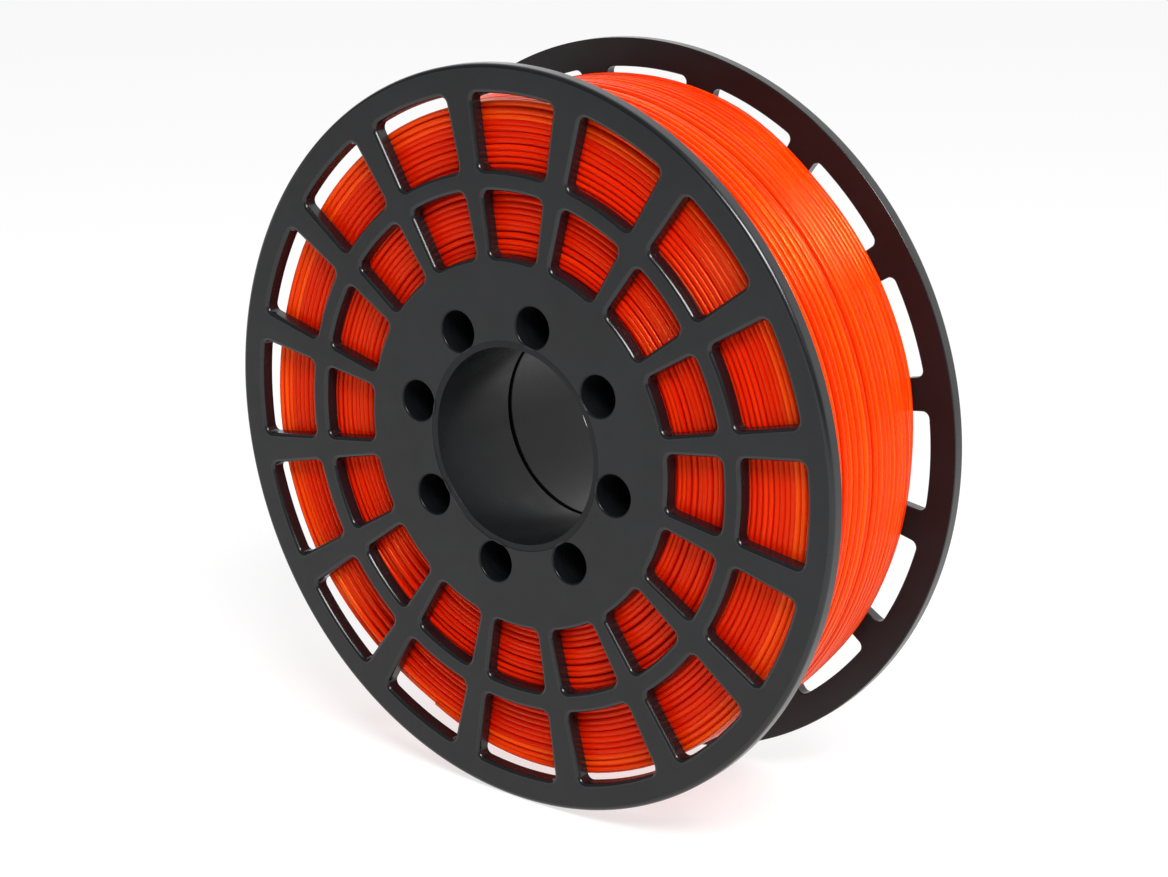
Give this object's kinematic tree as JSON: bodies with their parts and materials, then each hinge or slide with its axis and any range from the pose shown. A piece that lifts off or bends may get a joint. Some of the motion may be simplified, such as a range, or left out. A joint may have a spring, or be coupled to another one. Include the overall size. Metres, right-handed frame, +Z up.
{
  "type": "3-D printer filament spool",
  "caption": "Open-flanged plastic spool wound with bright orange printer filament, with a round spindle bore, a ring of drive holes and two rows of windows in each flange.",
  "frame": {"origin": "centre of the spindle bore, half way between the two flanges", "axes": "+Y along the spool's axis from the front flange to the rear one, +Z up and +X right as the spool stands upright on its rims, seen from the front"},
  "size_m": [0.2, 0.06, 0.2],
  "materials": {
    "spool_plastic": "satin injection-moulded charcoal plastic, a little smoother in the bore",
    "filament": "glossy, slightly translucent orange extruded strand"
  },
  "bodies": {
    "rear_half": {"rear_rim": "spool_plastic", "rear_outer_spokes": "spool_plastic", "rear_middle_ring": "spool_plastic", "rear_inner_spokes": "spool_plastic", "rear_hub_disc": "spool_plastic", "rear_bore_sleeve": "spool_plastic", "rear_barrel": "spool_plastic", "rear_peg_tubes": "spool_plastic", "rear_pegs": "spool_plastic", "rear_ribs": "spool_plastic", "filament_winding": "filament"},
    "front_half": {"front_rim": "spool_plastic", "front_outer_spokes": "spool_plastic", "front_middle_ring": "spool_plastic", "front_inner_spokes": "spool_plastic", "front_hub_disc": "spool_plastic", "front_bore_sleeve": "spool_plastic", "front_barrel": "spool_plastic", "front_peg_tubes": "spool_plastic", "front_pegs": "spool_plastic", "front_ribs": "spool_plastic"}
  },
  "joints": [
    {"name": "front_pull_off", "type": "slide", "parent": "rear_half", "child": "front_half", "axis": [0, -1, 0], "range_m": [0, 0.06]}
  ]
}
